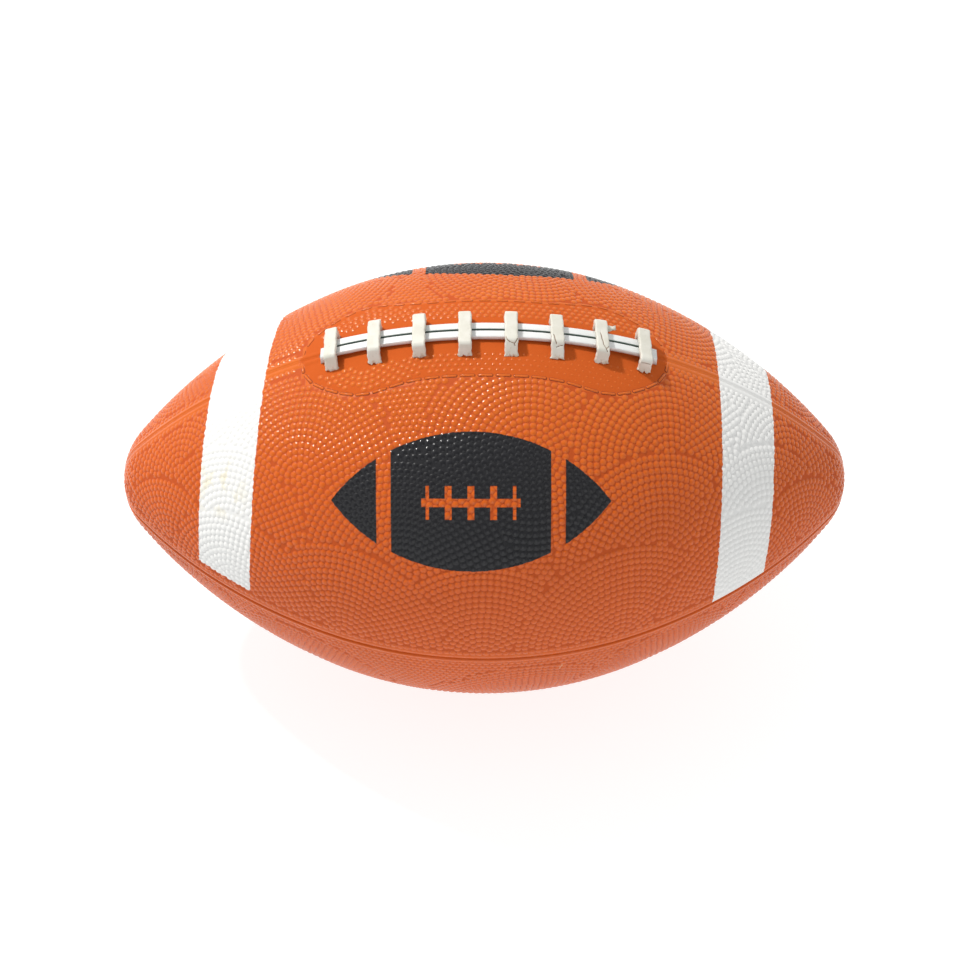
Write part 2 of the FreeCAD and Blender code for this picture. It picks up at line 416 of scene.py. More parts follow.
def bone_line(count):
    """The outline of one panel's half of the bone as (along, across) points, evenly spaced."""
    angle = np.linspace(0.0, math.pi, 4000)
    along = BONE_MIDDLE - BONE_HALF_LENGTH * np.cos(angle)
    across = bone_half_width(along)
    run = np.concatenate([[0.0], np.cumsum(np.hypot(np.diff(along), np.diff(across)))])
    even = np.linspace(0.0, run[-1], count)
    return np.interp(even, run, along), np.interp(even, run, across), run[-1]


def in_bone(along, turn, grow=0.0):
    """Whether places lie inside the stitched outline, grown by a distance."""
    across = np.abs(turn) * outline_at(along)[1]
    inner = BONE_MIDDLE + (np.asarray(along) - BONE_MIDDLE) * BONE_HALF_LENGTH / (BONE_HALF_LENGTH + grow)
    return across < bone_half_width(inner) + grow * (bone_half_width(inner) > 0)


bone_length = bone_line(400)[2]
print("stitched line on each panel: %.0f mm" % (bone_length / MM))

# %% [markdown]
# ## Where the pebbles go
#
# Rubber balls like this one are moulded with thousands of small round pebbles.  They are not
# scattered: they stand on rings round a few centres, and the discs of rings overlap like fish
# scales, each lying over the ones nearer the lacing.  Rows parallel to the seam fill what no
# disc covers.  The places are worked out as plain points, because that is arithmetic, and
# Geometry Nodes will put a dome on each.

# %% Pebble places
PEBBLE_SPACING = 2.45 * MM
PEBBLE_HEIGHT = 0.45 * MM
PEBBLE_RADIUS = 1.48 * MM
SEAM_MARGIN = 3.3 * MM
CAP_RADIUS = 95 * MM
QUARTER = math.pi / 2
ROW_COUNT = 60
CLOSEST_SHARE = 0.72
# Each disc: distance of its centre along the outline in mm, its angle in degrees, its rings.
SCALES = [
    (16, 32, 16), (69, 34, 16), (-127, 35, 12), (127, 35, 12), (-70, 38, 16),
    (-101, 62, 14), (-30, 62, 16), (64, 63, 16), (112, 62, 13),
    (-132, 84, 11), (132, 84, 11), (-1, 87, 16), (-54, 87, 16), (51, 87, 16), (-98, 88, 14), (100, 88, 14),
]


def seam_rows():
    """Rows parallel to the seam at angle 0, offset like bricks."""
    along, turn = [], []
    row_gap = PEBBLE_SPACING * math.sqrt(3) / 2
    places = np.arange(-HALF_ARC, HALF_ARC, PEBBLE_SPACING)
    for row in range(ROW_COUNT):
        here = places + PEBBLE_SPACING / 2 * (row % 2)
        rho = outline_at(here)[1]
        keep = rho > 6 * MM
        along.append(here[keep])
        turn.append((SEAM_MARGIN + row * row_gap) / rho[keep])
    return np.concatenate(along), np.concatenate(turn)


def scale_rings(centre, out, ring_count):
    """Rings of points on a cap bent about like the ball; every other ring is half a step on."""
    across = np.cross(out, (1.0, 0.0, 0.0))
    across /= np.linalg.norm(across)
    along = np.cross(across, out)
    rings = []
    for ring in range(ring_count + 1):
        count = max(1, round(2 * math.pi * ring))
        angle = (np.arange(count) + 0.5 * (ring % 2)) * 2 * math.pi / count
        bend = ring * PEBBLE_SPACING / CAP_RADIUS
        reach = CAP_RADIUS * math.sin(bend)
        level = centre - out * CAP_RADIUS * (1 - math.cos(bend))
        rings.append(level + reach * (np.cos(angle)[:, None] * along + np.sin(angle)[:, None] * across))
    return np.concatenate(rings)


def pebble_places():
    """Distance along the outline and angle of every pebble of one panel, angles from 0 to 90."""
    places = [along * MM for along, _, _ in SCALES]
    centres, outs = on_ball(places, np.radians([turn for _, turn, _ in SCALES]))
    ring_counts = [count for _, _, count in SCALES]

    def covered(points, first):
        hidden = np.zeros(len(points), bool)
        for centre, count in list(zip(centres, ring_counts))[first:]:
            hidden |= np.linalg.norm(points - centre, axis=1) < (count + 0.50) * PEBBLE_SPACING
        return hidden

    along, turn = seam_rows()
    near = turn * outline_at(along)[1] < SEAM_MARGIN * 1.05
    keep = near | ~covered(on_ball(along, turn)[0], 0)
    kept_along = [along[near], along[keep]]
    kept_turn = [QUARTER - turn[near], turn[keep]]
    for number, (centre, out) in enumerate(zip(centres, outs)):
        along, turn = drop_on_ball(scale_rings(centre, out, ring_counts[number]))
        keep = ~covered(on_ball(along, turn)[0], number + 1)
        kept_along.append(along[keep])
        kept_turn.append(turn[keep])
    return np.concatenate(kept_along), np.concatenate(kept_turn)


def thinned(along, turn, gap):
    """Drop each pebble that stands closer than gap to one that was kept before it."""
    points = on_ball(along, turn)[0]
    tree = KDTree(len(points))
    for index, point in enumerate(points):
        tree.insert(point, index)
    tree.balance()
    kept = np.ones(len(points), bool)
    for index, point in enumerate(points):
        if kept[index]:
            for _, other, _ in tree.find_range(point, gap):
                if other > index:
                    kept[other] = False
    return along[kept], turn[kept]


def inside_panel(along, turn):
    """Keep what stands clear of both seams and of the tip."""
    rho = outline_at(along)[1]
    gap = np.minimum(turn, QUARTER - turn) * rho
    keep = (gap > SEAM_MARGIN * 0.97) & (rho > 5 * MM) & (turn > 0) & (turn < QUARTER)
    return along[keep], turn[keep]


plain_along, plain_turn = thinned(*inside_panel(*pebble_places()), PEBBLE_SPACING * CLOSEST_SHARE)
print("pebbles on a plain panel:", len(plain_along))


# %% [markdown]
# ## Dots inside the stitched outline
#
# The rubber inside the outline is not bare.  Small dots stand on part rings in the left lobe
# and in rows along the rest, and a band beside the rails is left free.  On the front they
# shrink towards the right, where the mould is worn.

# %% Pebbles of a laced panel
LOBE_CENTRE = (-44.6 * MM, 6.1 * MM)
RAIL_BAND = 8.8 * MM
DOT_RING_GAP = 2.25
DOT_RING_SPACING = 2.6
DOT_ROWS = 6
DOT_ROW_START = -27 * MM
DOT_ROW_END = 66 * MM
DOT_ROW_SPACING = 2.7 * MM
FIRST_DOT_ROW = 9.4 * MM
DOT_ROW_GAP = 2.2 * MM


def lace_dots():
    """Places inside the bone: part rings in the -X lobe and rows along the rest."""
    along, across = [], []
    for ring in np.arange(6.5, 24.0, DOT_RING_GAP):
        count = round(2 * math.pi * ring / DOT_RING_SPACING)
        angle = (np.arange(count) + 0.5 * (round(ring / DOT_RING_GAP) % 2)) * 2 * math.pi / count
        along.append(LOBE_CENTRE[0] + ring * MM * np.cos(angle))
        across.append(LOBE_CENTRE[1] + ring * MM * np.sin(angle))
    for row in range(DOT_ROWS):
        places = np.arange(DOT_ROW_START, DOT_ROW_END, DOT_ROW_SPACING) + DOT_ROW_SPACING / 2 * (row % 2)
        along.append(places)
        across.append(np.full(len(places), FIRST_DOT_ROW + row * DOT_ROW_GAP))
    along, across = np.concatenate(along), np.concatenate(across)
    turn = across / outline_at(along)[1]
    keep = (across > RAIL_BAND) & in_bone(along, turn, -1.7 * MM)
    return thinned(along[keep], turn[keep], 1.9 * MM)


def laced_places(front):
    """Places and sizes on a panel with the bone; in front the dots fade out towards +X."""
    keep = ~in_bone(plain_along, plain_turn, 1.4 * MM)
    along, turn = lace_dots()
    fade = np.clip((22 * MM - along) / (54 * MM), 0.0, 1.0)
    size = 0.30 + 0.58 * fade if front else np.full(len(along), 0.74)
    all_along = np.concatenate([plain_along[keep], along])
    all_turn = np.concatenate([plain_turn[keep], turn])
    return all_along, all_turn, np.concatenate([np.ones(keep.sum()), size])


print("pebbles on a laced panel:", len(laced_places(True)[0]))

# %% [markdown]
# ## The shell of a panel
#
# A panel is a quarter of the cover.  Its outer face sinks into a channel along both seams and
# rises to a smooth bead beside it, and that depends only on the distance to the seam.  So the
# outer face is a grid whose lines crowd towards the seams, the inner face is a plainer grid,
# and every ring of the two together closes the shell.  The attribute "rubber" tells the finish
# what a place is: 1 on a bare bead or the top of a pebble, 0 in the pit between pebbles, which
# the finish darkens partly for dirt and partly as painted shade, 2 on the matte skin inside the
# stitched outline, and -1 at the foot of a stitch and in the needle hole, which the finish paints
# dark as shade.

# %% Panel shell
COVER_THICKNESS = 1.8 * MM
SEAM_STEPS = np.array([0.0, 0.35, 0.6, 0.85, 1.15, 1.6, 2.1, 2.5, 2.9, 3.3]) * MM
SEAM_HEIGHTS = np.array([-1.25, -1.15, -0.75, -0.22, -0.08, -0.08, -0.15, -0.30, -0.41, -0.45]) * MM
RINGS = 210
INNER_COLUMNS = 16
FINE_REACH = 27 * MM
WIDEST = 95 * MM


def store(piece, name, values):
    """Keep one number for each point of a piece, for its finish to read."""
    stored = piece.data.attributes.new(name, "FLOAT", "POINT")
    stored.data.foreach_set("value", np.asarray(values, float))


def ring_faces(rings, count):
    """Faces between rings that follow one another and have count points each."""
    faces = []
    for row in range(rings - 1):
        for k in range(count):
            a, b = row * count + k, row * count + (k + 1) % count
            faces.append((a, b, b + count, a + count))
    return faces


def closed_faces(rings, count):
    """The same with a lid on the first and the last ring."""
    lids = [tuple(range(count))[::-1], tuple(range((rings - 1) * count, rings * count))]
    return ring_faces(rings, count) + lids


def skin(along, turn, laced):
    """Height of the bare skin below the pebble tops, and how bare it is, for angles 0 to 90."""
    rho = outline_at(along)[1]
    gap = np.minimum(turn, QUARTER - turn) * rho
    height = np.interp(gap, SEAM_STEPS, SEAM_HEIGHTS)
    bare = np.interp(gap, [2.6 * MM, 3.0 * MM], [1.0, 0.0])
    if laced:
        across = turn * rho
        band = np.interp(across, [RAIL_BAND - 3.5 * MM, RAIL_BAND], [1.0, 0.0])
        band = band * np.interp(np.abs(along - BONE_MIDDLE), [62 * MM, 66 * MM], [1.0, 0.0])
        height = np.maximum(height, -PEBBLE_HEIGHT + 0.12 * MM * band * (across > 1.0 * MM))
        bare = np.maximum(bare, 2.0 * in_bone(along, turn, 0.5 * MM))
    return height, bare


def cross_lines(width, laced):
    """Distances from the first seam to the second, crowded near both."""
    edge = SEAM_STEPS * min(1.0, width / 2 / (SEAM_STEPS[-1] * 1.5))
    start = edge[-1]
    fine_end = max(start * 1.5, FINE_REACH * min(1.0, width / WIDEST))
    fine = np.linspace(start, fine_end, 20)[1:] if laced else np.array([start * 1.3])
    middle = np.linspace(fine[-1], width - start, 24)[1:-1]
    return np.concatenate([edge, fine, middle, width - edge[::-1]])


def panel_shell(name, start, laced, mirrored):
    """A closed panel that starts at an angle and spans a quarter turn."""
    even = np.linspace(-1.0, 1.0, RINGS)
    along = (0.35 * np.sin(even * QUARTER) + 0.65 * even) * (HALF_ARC - 0.15 * MM)
    vertices, bare = [], []
    for u in along:
        rho = float(outline_at(u)[1])
        turn = cross_lines(QUARTER * rho, laced) / rho
        height, smooth = skin(np.full(len(turn), u), turn, laced)
        inner = np.linspace(QUARTER, 0.0, INNER_COLUMNS)
        both = np.concatenate([turn, inner])
        depth = np.concatenate([height, np.full(INNER_COLUMNS, -COVER_THICKNESS)])
        if mirrored:
            both = QUARTER - both
        vertices.append(on_ball(np.full(len(both), u), start + both, depth)[0])
        bare.append(np.concatenate([smooth, np.ones(INNER_COLUMNS)]))
    faces = closed_faces(RINGS, len(vertices[0]))
    if not mirrored:
        faces = [face[::-1] for face in faces]
    shell = new_object(name, np.concatenate(vertices), faces)
    store(shell, "rubber", np.concatenate(bare))
    return shell


# %% [markdown]
# ## A dome on every place
#
# Each pebble is the same low dome, so it is made once, with two rings round a tip, and
# Geometry Nodes puts a copy on every place, turned to face outwards.  The same tree later
# plants the moulded stitches and the boss round the needle hole.  A stitch also has to lie
# along its line, so every place stores two directions: out of the ball and along the line.
# Realize Instances turns the copies into plain mesh, because the export drops instances.

# %% The planting tree
class Tree(Wiring):
    """A Geometry Nodes tree with named inputs."""

    def __init__(self, name):
        super().__init__(bpy.data.node_groups.new(name, "GeometryNodeTree"))
        for way in ("INPUT", "OUTPUT"):
            self.tree.interface.new_socket("Geometry", in_out=way, socket_type="NodeSocketGeometry")
        self.entry = Node(self, self.tree.nodes.new("NodeGroupInput"))
        self.exit = self.tree.nodes.new("NodeGroupOutput")

    def input(self, name, kind):
        self.tree.interface.new_socket(name, in_out="INPUT", socket_type="NodeSocket" + kind)
        return self.entry[name]

    def stored(self, name, kind):
        values = {"Name": name}
        return self.node("GeometryNodeInputNamedAttribute", {"data_type": kind}, values)["Attribute"]

    def finish(self, instances, material):
        """Realize the instances, set their material and end the tree."""
        real = self.node("GeometryNodeRealizeInstances", {}, {"Geometry": instances})["Geometry"]
        values = {"Geometry": real, "Material": material}
        self.feed(self.exit.inputs[0], self.node("GeometryNodeSetMaterial", {}, values)["Geometry"])

    def run(self, piece, inputs):
        """The tree's result on a piece as a plain mesh, with inputs given by name."""
        modifier = piece.modifiers.new(self.tree.name, "NODES")
        modifier.node_group = self.tree
        for item in self.tree.interface.items_tree:
            if item.in_out == "INPUT" and item.name in inputs:
                modifier[item.identifier] = inputs[item.name]
        graph = bpy.context.evaluated_depsgraph_get()
        mesh = bpy.data.meshes.new_from_object(piece.evaluated_get(graph), depsgraph=graph)
        piece.modifiers.remove(modifier)
        return mesh


def planting_tree():
    """Puts a shape on every point, standing along "out" and lying along "way"."""
    tree = Tree("plant_on_cover")
    shape = tree.input("Shape", "Object")
    radius = tree.input("Radius", "Float")
    height = tree.input("Height", "Float")
    material = tree.input("Material", "Material")
    size = tree.stored("size", "FLOAT")
    model = tree.node("GeometryNodeObjectInfo", {}, {"Object": shape})["Geometry"]
    values = {"Vector": tree.stored("out", "FLOAT_VECTOR")}
    standing = tree.node("FunctionNodeAlignRotationToVector", {"axis": "Z"}, values)["Rotation"]
    values = {"Rotation": standing, "Vector": tree.stored("way", "FLOAT_VECTOR")}
    settings = {"axis": "X", "pivot_axis": "Z"}
    lying = tree.node("FunctionNodeAlignRotationToVector", settings, values)["Rotation"]
    values = {"X": radius * size, "Y": radius * size, "Z": height * size}
    scale = tree.node("ShaderNodeCombineXYZ", {}, values)["Vector"]
    values = {"Points": tree.entry["Geometry"], "Instance": model, "Rotation": lying, "Scale": scale}
    tree.finish(tree.node("GeometryNodeInstanceOnPoints", {}, values)["Instances"], material)
    return tree


plant_on_cover = planting_tree()


def planted(shape, points, out, way, size, radius, height, material):
    """Copies of a shape on points, as one mesh."""
    seeds = new_object("seeds", points, [])
    told = [("out", "FLOAT_VECTOR", out), ("way", "FLOAT_VECTOR", way), ("size", "FLOAT", size)]
    for name, kind, data in told:
        stored = seeds.data.attributes.new(name, kind, "POINT")
        stored.data.foreach_set("value" if kind == "FLOAT" else "vector", np.ravel(data))
    inputs = {"Shape": shape, "Radius": radius, "Height": height, "Material": material}
    mesh = plant_on_cover.run(seeds, inputs)
    bpy.data.objects.remove(seeds)
    return mesh


# %% The dome, the stitch and the needle's eye
def pebble_dome():
    """A low dome of radius and height 1 with its foot a little under 0."""
    sides = 8
    vertices = [(0.0, 0.0, 1.0)]
    for radius, height in [(0.50, 0.77), (1.0, -0.05)]:
        for k in range(sides):
            angle = 2 * math.pi * k / sides
            vertices.append((radius * math.cos(angle), radius * math.sin(angle), height))
    faces = []
    for k in range(sides):
        after = (k + 1) % sides
        faces.append((0, 1 + k, 1 + after))
        faces.append((1 + k, 1 + sides + k, 1 + sides + after, 1 + after))
    dome = new_object("pebble_dome", vertices, faces)
    # The foot ring gets 0.1, which the finish darkens as pit: partly dirt, partly painted shade.
    store(dome, "rubber", [1.0] + [1.0] * sides + [0.1] * sides)
    return dome


def stitch_bead(length, width, height):
    """A raised dash with round ends, lying along X with its foot a little under 0."""
    half = (length - width) / 2
    ends = [(side * half, side) for side in (1, -1)]
    vertices = []
    for grow, level in [(1.5, -0.08), (1.0, 0.10), (0.85, 0.6), (0.45, 1.0)]:
        for middle, side in ends:
            for k in range(5):
                angle = -QUARTER + k * math.pi / 4
                x = middle + side * math.cos(angle) * width / 2 * grow
                vertices.append((x, side * math.sin(angle) * width / 2 * grow, level * height))
    faces = ring_faces(4, 10) + [tuple(range(30, 40))]
    bead = new_object("stitch_bead", vertices, faces)
    # The foot rings get -1, which the finish paints dark as shade round each dash.
    store(bead, "rubber", [-1.0] * 20 + [1.0] * 20)
    return bead


def needle_eye():
    """A low round boss with a needle hole in its middle, a shallow lid painted dark as shade."""
    sides = 28
    # The innermost ring and the lid over the needle hole get -1, which the finish paints dark as shade.
    rings = [(5.0, -0.05, 1.0), (4.1, 0.30, 1.0), (2.8, 0.36, 1.0), (2.3, 0.26, 1.0), (1.5, 0.05, -1.0)]
    angle = np.arange(sides) * 2 * math.pi / sides
    vertices = [(r * MM * math.cos(a), r * MM * math.sin(a), h * MM) for r, h, _ in rings for a in angle]
    faces = ring_faces(len(rings), sides)
    faces.append(tuple(range(len(vertices) - sides, len(vertices))))
    eye = new_object("needle_eye", vertices, faces)
    store(eye, "rubber", [value for _, _, value in rings for _ in angle])
    return eye


dome = pebble_dome()
stitch = stitch_bead(5.3 * MM, 0.95 * MM, 0.36 * MM)
eye = needle_eye()
print("faces of a dome, a stitch and the eye:", [len(shape.data.polygons) for shape in (dome, stitch, eye)])

# %% [markdown]
# ## The cover's finish
#
# Rubber, paint and print are one skin, so they are one material.  Its masks are formulas in
# millimetres: the stripes lie between two planes whose place shifts a little round the ball,
# and the black mark is a lens between two circles with strokes left out of it.  Pits between
# pebbles are darker, partly for dirt and partly as painted shade.  The feet of the stitches, the
# needle hole and the gap between the rails get dark painted shade.  The rubber is painted
# yellower towards the top and back, where the lamp falls.

# %% Cover finish
PRINT_TURN = math.radians(44.0)
MARK_RADIUS = 62.5
MARK_DROP = 37.5
MARK_SHIFT = 5.6


def stripe_mask(x, turn, to_side_seam, ragged, low, high, foot):
    """1 between two edges, each (drift per radian, place), down to a distance from the seam."""
    inside = (x + turn * low[0] - low[1] + ragged).ramp(-0.12, 0.12)
    inside = inside * (x + turn * high[0] - high[1] + ragged).ramp(0.12, -0.12)
    return inside * to_side_seam.ramp(foot, foot + 0.3)


def mark_mask(x, y, z, ragged):
    """1 on the black mark: a lens with two bands, a spine and its teeth left out."""
    a = x * (y * -1.0).math("SIGN") + MARK_SHIFT
    b = y.size() * math.cos(PRINT_TURN) - z * math.sin(PRINT_TURN)
    high = b.size() + MARK_DROP
    lens = (MARK_RADIUS - (a * a + high * high).math("SQRT") + ragged * 0.5).ramp(-0.15, 0.15)
    band = ((a.size() - 31.0).size() - 2.6).ramp(-0.15, 0.15)
    spine = (a.size() - 17.5).ramp(-0.15, 0.15).either((b.size() - 1.5).ramp(-0.15, 0.15))
    tooth = ((a + 500.0).math("MODULO", 8.0) - 4.0).size()
    teeth = (1.2 - tooth).ramp(-0.15, 0.15) * (a.size() - 16.0).ramp(0.15, -0.15)
    teeth = 1.0 - teeth * (b.size() - 6.0).ramp(0.15, -0.15)
    return lens * band * spine * teeth


def cover_rubber():
    finish = Finish("cover_rubber", IOR=1.45, Specular_IOR_Level=0.32)
    x, y, z = finish.axes()
    turn = (y * -1.0).math("ARCTAN2", z)
    rho = (y * y + z * z).math("SQRT")
    to_side_seam = (QUARTER - turn.size()) * rho
    upper = to_side_seam.ramp(-0.1, 0.1)
    ragged = (finish.noise(1.6, 2.0) - 0.5) * 1.1

    where = (x, turn, to_side_seam, ragged)
    left = stripe_mask(*where, low=(3.45, -103.95), high=(4.8, -81.6), foot=5.9)
    right = stripe_mask(*where, low=(0.95, 87.1), high=(1.6, 108.8), foot=0.9)
    stripe = (left + right) * upper
    mark = mark_mask(x, y, z, ragged) * upper

    bare = finish.attribute("rubber")
    matte = bare.ramp(1.2, 2.0)
    cloud = finish.noise(38.0, 3.0)
    fine = finish.noise(2.2, 2.0)
    # Yellower towards the top and back, where the key lamp falls, and redder towards the front and bottom:
    # painted light.
    rubber = finish.mix((y + z).ramp(-55.0, 100.0), (0.60, 0.098, 0.008), (0.61, 0.134, 0.014))
    rubber = finish.mix(cloud.ramp(0.3, 0.7) * 0.5, rubber, (0.54, 0.094, 0.009))
    rubber = finish.mix(fine.ramp(0.45, 0.8) * 0.35, rubber, (0.70, 0.155, 0.026))
    # Pits between pebbles are darker: partly dirt, partly painted shade.
    rubber = finish.mix(1.0 - bare.ramp(0.0, 0.8), rubber, (0.47, 0.070, 0.006))
    rubber = finish.mix(matte * 0.8, rubber, (0.50, 0.080, 0.007))
    scratch = ((x - 28.0 + (turn - 1.70) * rho * 0.3).size() - 0.25).ramp(0.1, -0.1)
    scratch = scratch * (((turn - 1.70) * rho).size() - 1.8).ramp(0.1, -0.1) * (y * -1.0).ramp(0.0, 1.0)
    rubber = finish.mix(scratch * 0.6, rubber, (0.75, 0.42, 0.22))
    # Feet of the stitches and the needle hole: dark painted shade.
    stitch_and_hole_shade = (bare * -1.0).ramp(0.1, 0.8)
    # Under the gap between the rails: dark green-grey painted shade.
    shade_between_rails = (y.size() - 0.8).ramp(0.1, -0.1) * (x.size() - 61.0).ramp(0.5, -0.5) * z.ramp(0.0, 1.0)
    rubber = finish.mix(stitch_and_hole_shade, rubber, (0.22, 0.036, 0.008))
    rubber = finish.mix(shade_between_rails, rubber, (0.11, 0.15, 0.13))
    paint = finish.mix(cloud.ramp(0.35, 0.75) * 0.4, (0.77, 0.77, 0.755), (0.73, 0.73, 0.72))
    # Paint in the pits is greyer: painted shade.
    paint = finish.mix((1.0 - bare.ramp(0.0, 0.9)) * 0.5, paint, (0.70, 0.70, 0.69))
    away = ((x + 99.0) * (x + 99.0) + ((turn - 0.72) * rho).math("POWER", 2.0)).math("SQRT")
    stain = away.ramp(15.0, 4.0) * finish.noise(7.0, 3.0).ramp(0.5, 0.62)
    paint = finish.mix(stain * 0.5, paint, (0.74, 0.66, 0.42))
    ink = finish.mix(fine, (0.010, 0.010, 0.012), (0.018, 0.018, 0.021))
    colour = finish.mix(mark, finish.mix(stripe, rubber, paint), ink)
    finish.set(Base_Color=colour)
    polish = bare.ramp(0.0, 0.7) * 0.56
    finish.set(Roughness=fine * 0.05 + 0.70 - polish + matte * 0.75 + stripe * 0.12)
    finish.bump(finish.noise(0.55, 2.0) * 0.6 + fine * 0.4, 0.02)
    return finish


cover_finish = cover_rubber()
print("cover finish nodes:", len(cover_finish.tree.nodes))

# %% [markdown]
# ## Four panels
#
# The two upper panels carry the stitched outline, and the back ones mirror the front ones
# about the upright plane.  The lower back panel has the needle hole.  Each panel is its shell,
# pebbles and stitches joined into one piece, which stands for the plain panel of the packed
# model.

# %% Panels
VALVE_TURN = math.radians(192.0)
VALVE_CLEAR = 5.4 * MM
STITCH_PITCH = 6.2 * MM


def joined(name, meshes, material):
    """One object out of several meshes of one material."""
    parts = []
    for mesh in meshes:
        part = bpy.data.objects.new(name, mesh)
        bpy.context.scene.collection.objects.link(part)
        parts.append(part)
    with bpy.context.temp_override(active_object=parts[0], selected_editable_objects=parts):
        bpy.ops.object.join()
    piece = parts[0]
    piece.data.materials.clear()
    piece.data.materials.append(material)
    piece.data.polygons.foreach_set("material_index", [0] * len(piece.data.polygons))
    piece.data.shade_smooth()
    piece.name = name
    return piece


def hand_over(piece, node):
    """Let a finished piece ride on the ball and stand for its node."""
    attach(piece, "root")
    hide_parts(node)
    triangles = sum(len(face.vertices) - 2 for face in piece.data.polygons)
    print("%-24s %6d triangles" % (piece.name, triangles))


def stitches(start, mirrored):
    """The moulded dashes of one panel."""
    count = int(bone_length / STITCH_PITCH)
    line_along, line_across, _ = bone_line(count * 40)
    middles = np.arange(count) * 40 + 20
    turn = line_across / outline_at(line_along)[1]
    turn = start + (QUARTER - turn if mirrored else turn)
    path, out = on_ball(line_along, turn, np.full(len(turn), -PEBBLE_HEIGHT))
    way = path[middles + 6] - path[middles - 6]
    keep = line_across[middles] > 1.8 * MM
    middles, way = middles[keep], way[keep]
    size = np.full(len(middles), 0.75 if mirrored else 1.0)
    return planted(stitch, path[middles], out[middles], way, size, 1.0, 1.0, cover_finish.material)


def cover_panel(node, start, laced, mirrored):
    """Shell, pebbles and, where they belong, stitches or the needle's eye, as one piece."""
    shell = panel_shell(node + "_shell", start, laced, mirrored)
    meshes = [shell.data]
    bpy.data.objects.remove(shell)
    along, turn, size = plain_along, plain_turn, np.ones(len(plain_along))
    if laced:
        along, turn, size = laced_places(not mirrored)
        meshes.append(stitches(start, mirrored))
    size = size * np.random.default_rng(7).uniform(0.92, 1.0, len(size))
    turn = start + (QUARTER - turn if mirrored else turn)
    points, out = on_ball(along, turn, np.full(len(along), -PEBBLE_HEIGHT))
    if node == "cover_panel_lower_back":
        place, upright = on_ball(np.array([0.0]), np.array([VALVE_TURN]), np.array([-PEBBLE_HEIGHT]))
        clear = np.linalg.norm(points - place, axis=1) > VALVE_CLEAR
        points, out, size = points[clear], out[clear], size[clear]
        sideways = np.array([[1.0, 0.0, 0.0]])
        meshes.append(planted(eye, place, upright, sideways, np.ones(1), 1.0, 1.0, cover_finish.material))
    way = np.cross(out, np.random.default_rng(8).normal(size=out.shape))
    meshes.append(planted(dome, points, out, way, size, PEBBLE_RADIUS, PEBBLE_HEIGHT, cover_finish.material))
    piece = joined(node.replace("cover_panel", "cover"), meshes, cover_finish.material)
    hand_over(piece, node)


cover_panel("cover_panel_upper_front", 0.0, True, False)
cover_panel("cover_panel_lower_front", QUARTER, False, False)
cover_panel("cover_panel_lower_back", 2 * QUARTER, False, True)
cover_panel("cover_panel_upper_back", 3 * QUARTER, True, True)
for shape in (dome, stitch, eye):
    bpy.data.objects.remove(shape)

# %% [markdown]
# ## The lacing
#
# Eight crossbars bridge two rails.  Real ones are strips of moulded rubber whose front legs
# were trimmed with a knife, so they end ragged on the cover, and a few have cracked where they
# bend, and one has a scrap of rubber hanging off it.  A crossbar is a closed loft: a rounded
# section carried along a bent line, with the front edge cut back unevenly.  The places follow
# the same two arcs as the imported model: the belly, and the flatter arc of the crossbar tops.

# %% Lacing places
CROSSBAR_COUNT = 8
CROSSBAR_PITCH = 16.57 * MM
LACING_SHIFT = 0.7 * MM
LACING_RADIUS = 174.7 * MM
CROSSBAR_LIFT = 4.75 * MM
CROSSBAR_WIDTH = 4.7 * MM
CROSSBAR_THICKNESS = 2.7 * MM
CROSSBAR_LEAN = 0.35
CROSSBAR_BACKS = (7.5, 7.0, 7.3, 7.0, 7.0, 7.0, 7.5, 7.5)
CROSSBAR_FRONTS = (6.9, 7.6, 8.4, 8.9, 7.1, 6.4, 8.0, 8.9)
CROSSBAR_FEET = (8.4, 9.7, 9.6, 10.3, 10.3, 10.3, 9.2, 9.0)
BACK_FOOT = -8.2
OUTER_BEND = 1.7
INNER_BEND = 0.3
RAIL_CLEARANCE = 0.2 * MM
belly_middle = np.array([0.0, 0.0, HALF_WIDTH - BELLY_RADIUS])
lacing_middle = np.array([0.0, 0.0, HALF_WIDTH + CROSSBAR_LIFT - LACING_RADIUS])


def crossbar_frame(number):
    """Origin on the belly, directions along, front and up, the lift and the skew of a crossbar."""
    angle = ((number - (CROSSBAR_COUNT - 1) / 2) * CROSSBAR_PITCH + LACING_SHIFT) / BELLY_RADIUS
    lean = CROSSBAR_LEAN * angle
    origin = belly_middle + BELLY_RADIUS * np.array([math.sin(angle), 0.0, math.cos(angle)])
    up = np.array([math.sin(lean), 0.0, math.cos(lean)])
    tangent = np.array([math.cos(lean), 0.0, -math.sin(lean)])
    front = np.array([0.0, -1.0, 0.0])
    base = origin - lacing_middle
    lift = math.sqrt((base @ up) ** 2 - base @ base + LACING_RADIUS ** 2) - base @ up
    skew = math.tan(math.asin((origin + up * lift)[0] / LACING_RADIUS) - lean)
    return origin, tangent, front, up, lift, skew


